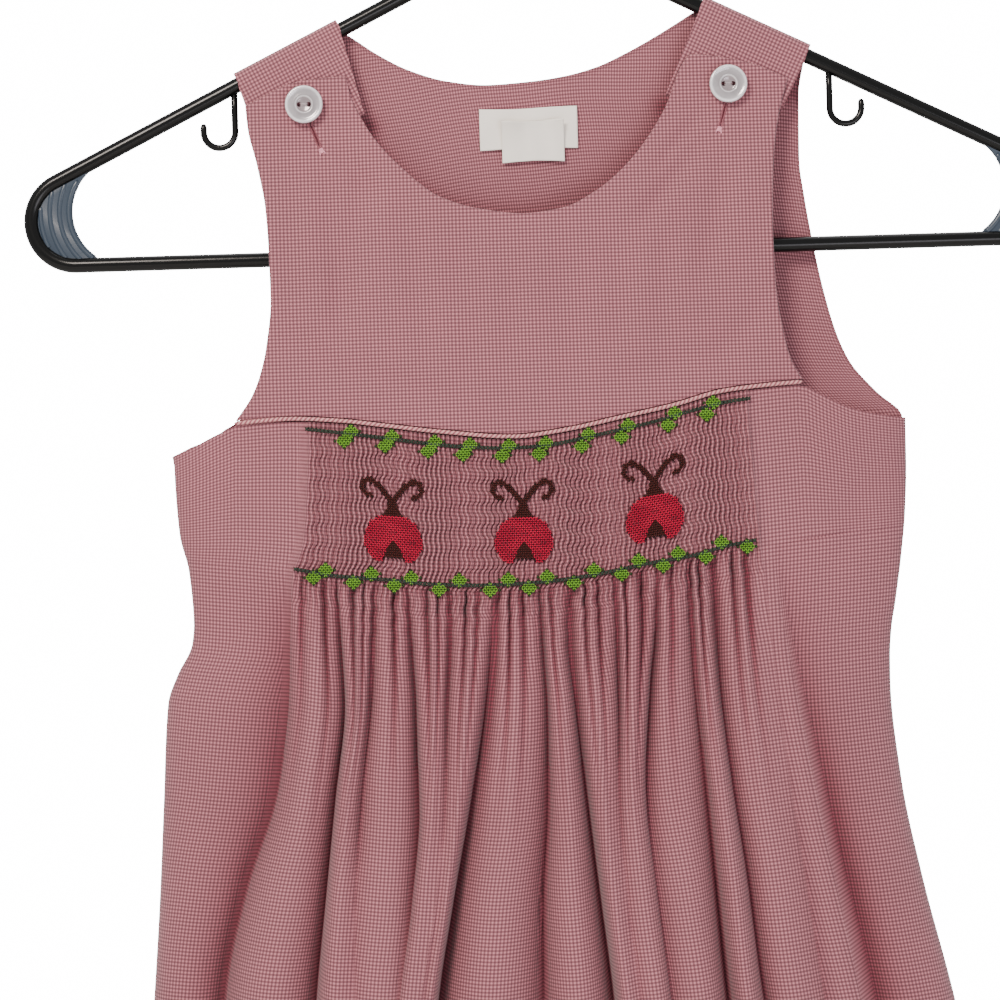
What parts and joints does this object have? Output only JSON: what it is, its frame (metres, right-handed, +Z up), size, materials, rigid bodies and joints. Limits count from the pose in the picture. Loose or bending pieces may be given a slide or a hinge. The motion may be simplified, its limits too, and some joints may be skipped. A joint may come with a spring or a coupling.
{
  "type": "smocked dress on a clothes hanger",
  "caption": "Child's sleeveless pink gingham dress with a smocked front and buttoned shoulder straps, hanging on a black plastic hanger by its hook.",
  "frame": {"origin": "inner crown of the hanger's hook, where it rests on a rail", "axes": "+Z up; +X to the right as the dress is seen from its front; the front faces -Y; the hanger lies in the plane Y = 0"},
  "size_m": [0.4242, 0.0898, 0.7061],
  "materials": {
    "pink_gingham": "woven cotton gingham, matt",
    "pink_smocking": "woven cotton gingham, pleated and smocked, matt",
    "pink_piping": "bias-cut gingham over cord, matt",
    "black_plastic": "moulded, glossy",
    "pearl_plastic": "pearly, polished",
    "white_ribbon": "woven ribbon, bare"
  },
  "bodies": {
    "root": {"back": "pink_gingham", "button_left": "pearl_plastic", "button_right": "pearl_plastic", "front_skirt": "pink_smocking", "front_yoke": "pink_gingham", "hanger": "black_plastic", "neck_label": "white_ribbon", "size_tab": "white_ribbon", "yoke_piping": "pink_piping"}
  },
  "joints": []
}
